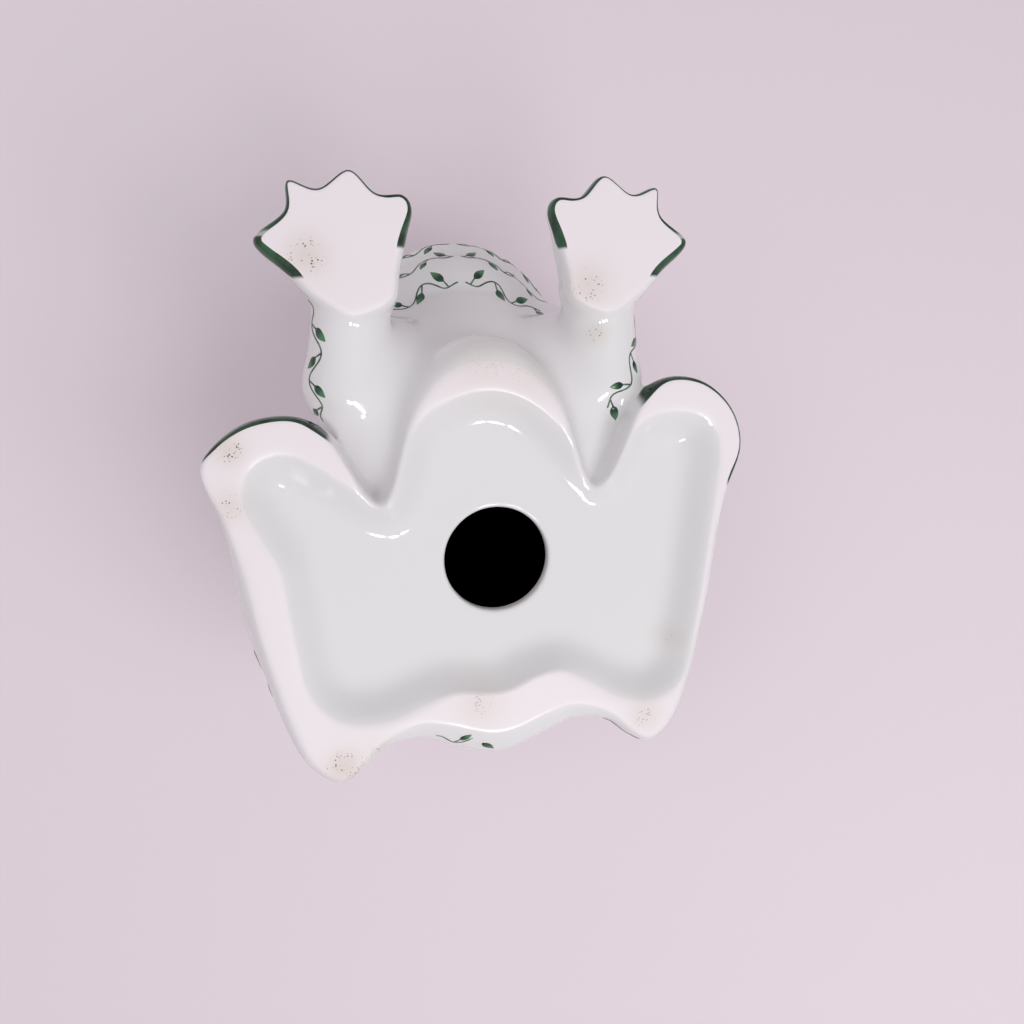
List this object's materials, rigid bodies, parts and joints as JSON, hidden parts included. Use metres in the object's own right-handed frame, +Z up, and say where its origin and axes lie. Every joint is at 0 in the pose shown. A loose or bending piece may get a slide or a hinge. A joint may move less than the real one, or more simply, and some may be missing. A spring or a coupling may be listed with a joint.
{
  "type": "frog figurine",
  "caption": "Crouching porcelain frog with webbed feet, a recessed base and a round pour hole under it; a hollow ornament that stands on its flat rim.",
  "frame": {"origin": "middle of the footprint's bounding box, on the plane the feet and the base rim stand on", "axes": "+Z up out of the standing plane, -Y the way the frog faces, +X the side that is on the right of the picture (seen from underneath)"},
  "size_m": [0.1146, 0.125, 0.0665],
  "materials": {
    "glaze": "white porcelain under a clear gloss glaze, wiped bare on the soles, with painted green foot edges and leaf scrolls",
    "eye_enamel": "white glaze with a painted dark pupil and green lid line"
  },
  "bodies": {
    "root": {"base_pan": "glaze", "belly_rim": "glaze", "rump_rim": "glaze", "torso_shell": "glaze", "head_shell": "glaze", "left_hind_foot": "glaze", "right_hind_foot": "glaze", "left_haunch": "glaze", "right_haunch": "glaze", "left_foreleg": "glaze", "right_foreleg": "glaze", "left_eye": "eye_enamel", "right_eye": "eye_enamel"}
  },
  "joints": []
}
